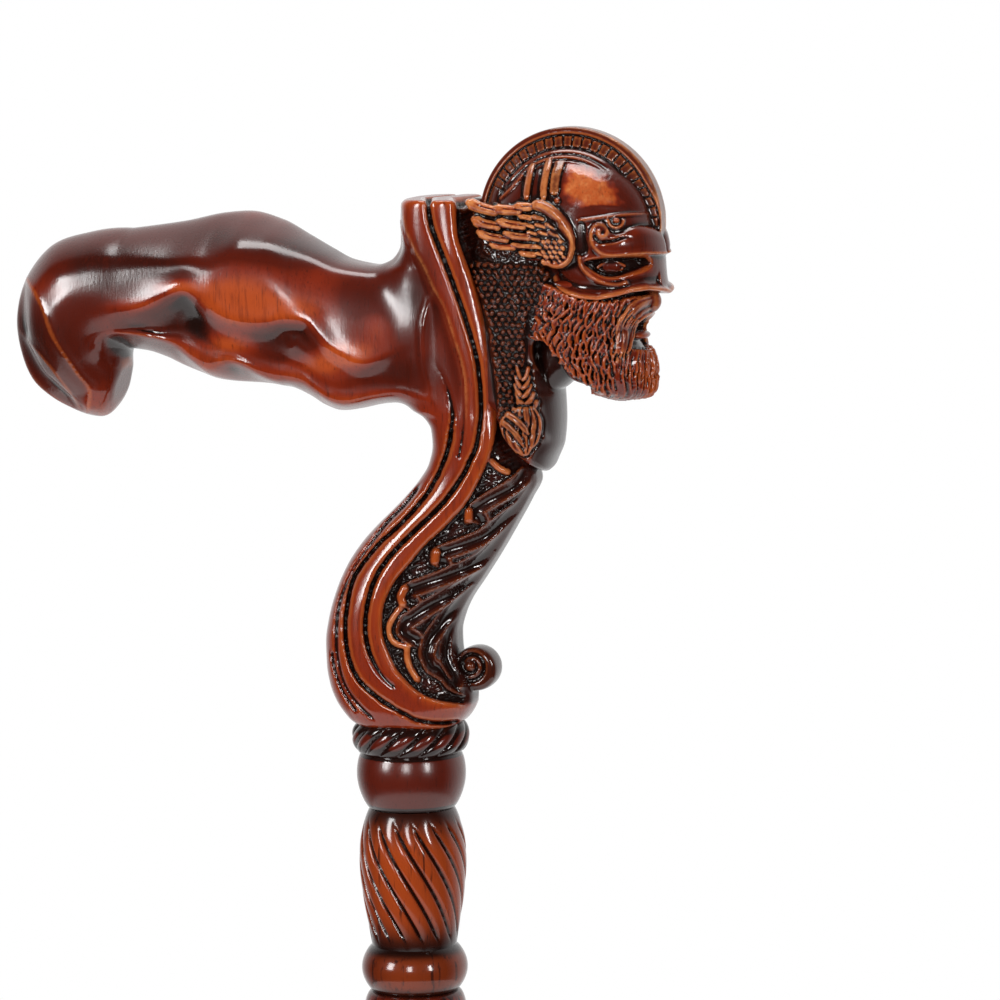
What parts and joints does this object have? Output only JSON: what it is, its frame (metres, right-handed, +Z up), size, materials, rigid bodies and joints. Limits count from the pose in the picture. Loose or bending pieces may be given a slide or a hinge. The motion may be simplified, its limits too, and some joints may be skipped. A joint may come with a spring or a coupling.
{
  "type": "carved walking cane",
  "caption": "Right-hand walking cane with a carved hardwood handle, a helmeted head at its front, a turned tapered stick and a rubber foot.",
  "frame": {"origin": "middle of the rubber foot's sole, on the stick's axis, at the floor", "axes": "+Z up the stick, +X towards the carved head, -X along the grip, -Y is the finger side of the grip"},
  "size_m": [0.178, 0.0376, 0.9196],
  "materials": {
    "handle_wood": "stained red-brown, dark patina in the cuts, gloss lacquer",
    "shaft_wood": "stained dark red-brown with black grain, gloss lacquer",
    "screw_steel": "zinc plated",
    "black_rubber": "semi-matt moulded rubber",
    "disc_steel": "zinc plated"
  },
  "bodies": {
    "cane": {"handle": "handle_wood", "shaft": "shaft_wood", "dowel_screw": "screw_steel"},
    "foot": {"rubber_ferrule": "black_rubber", "ferrule_washer": "disc_steel"}
  },
  "joints": [
    {"name": "ferrule_pull", "type": "slide", "parent": "cane", "child": "foot", "axis": [0, 0, -1], "range_m": [0, 0.03]}
  ]
}
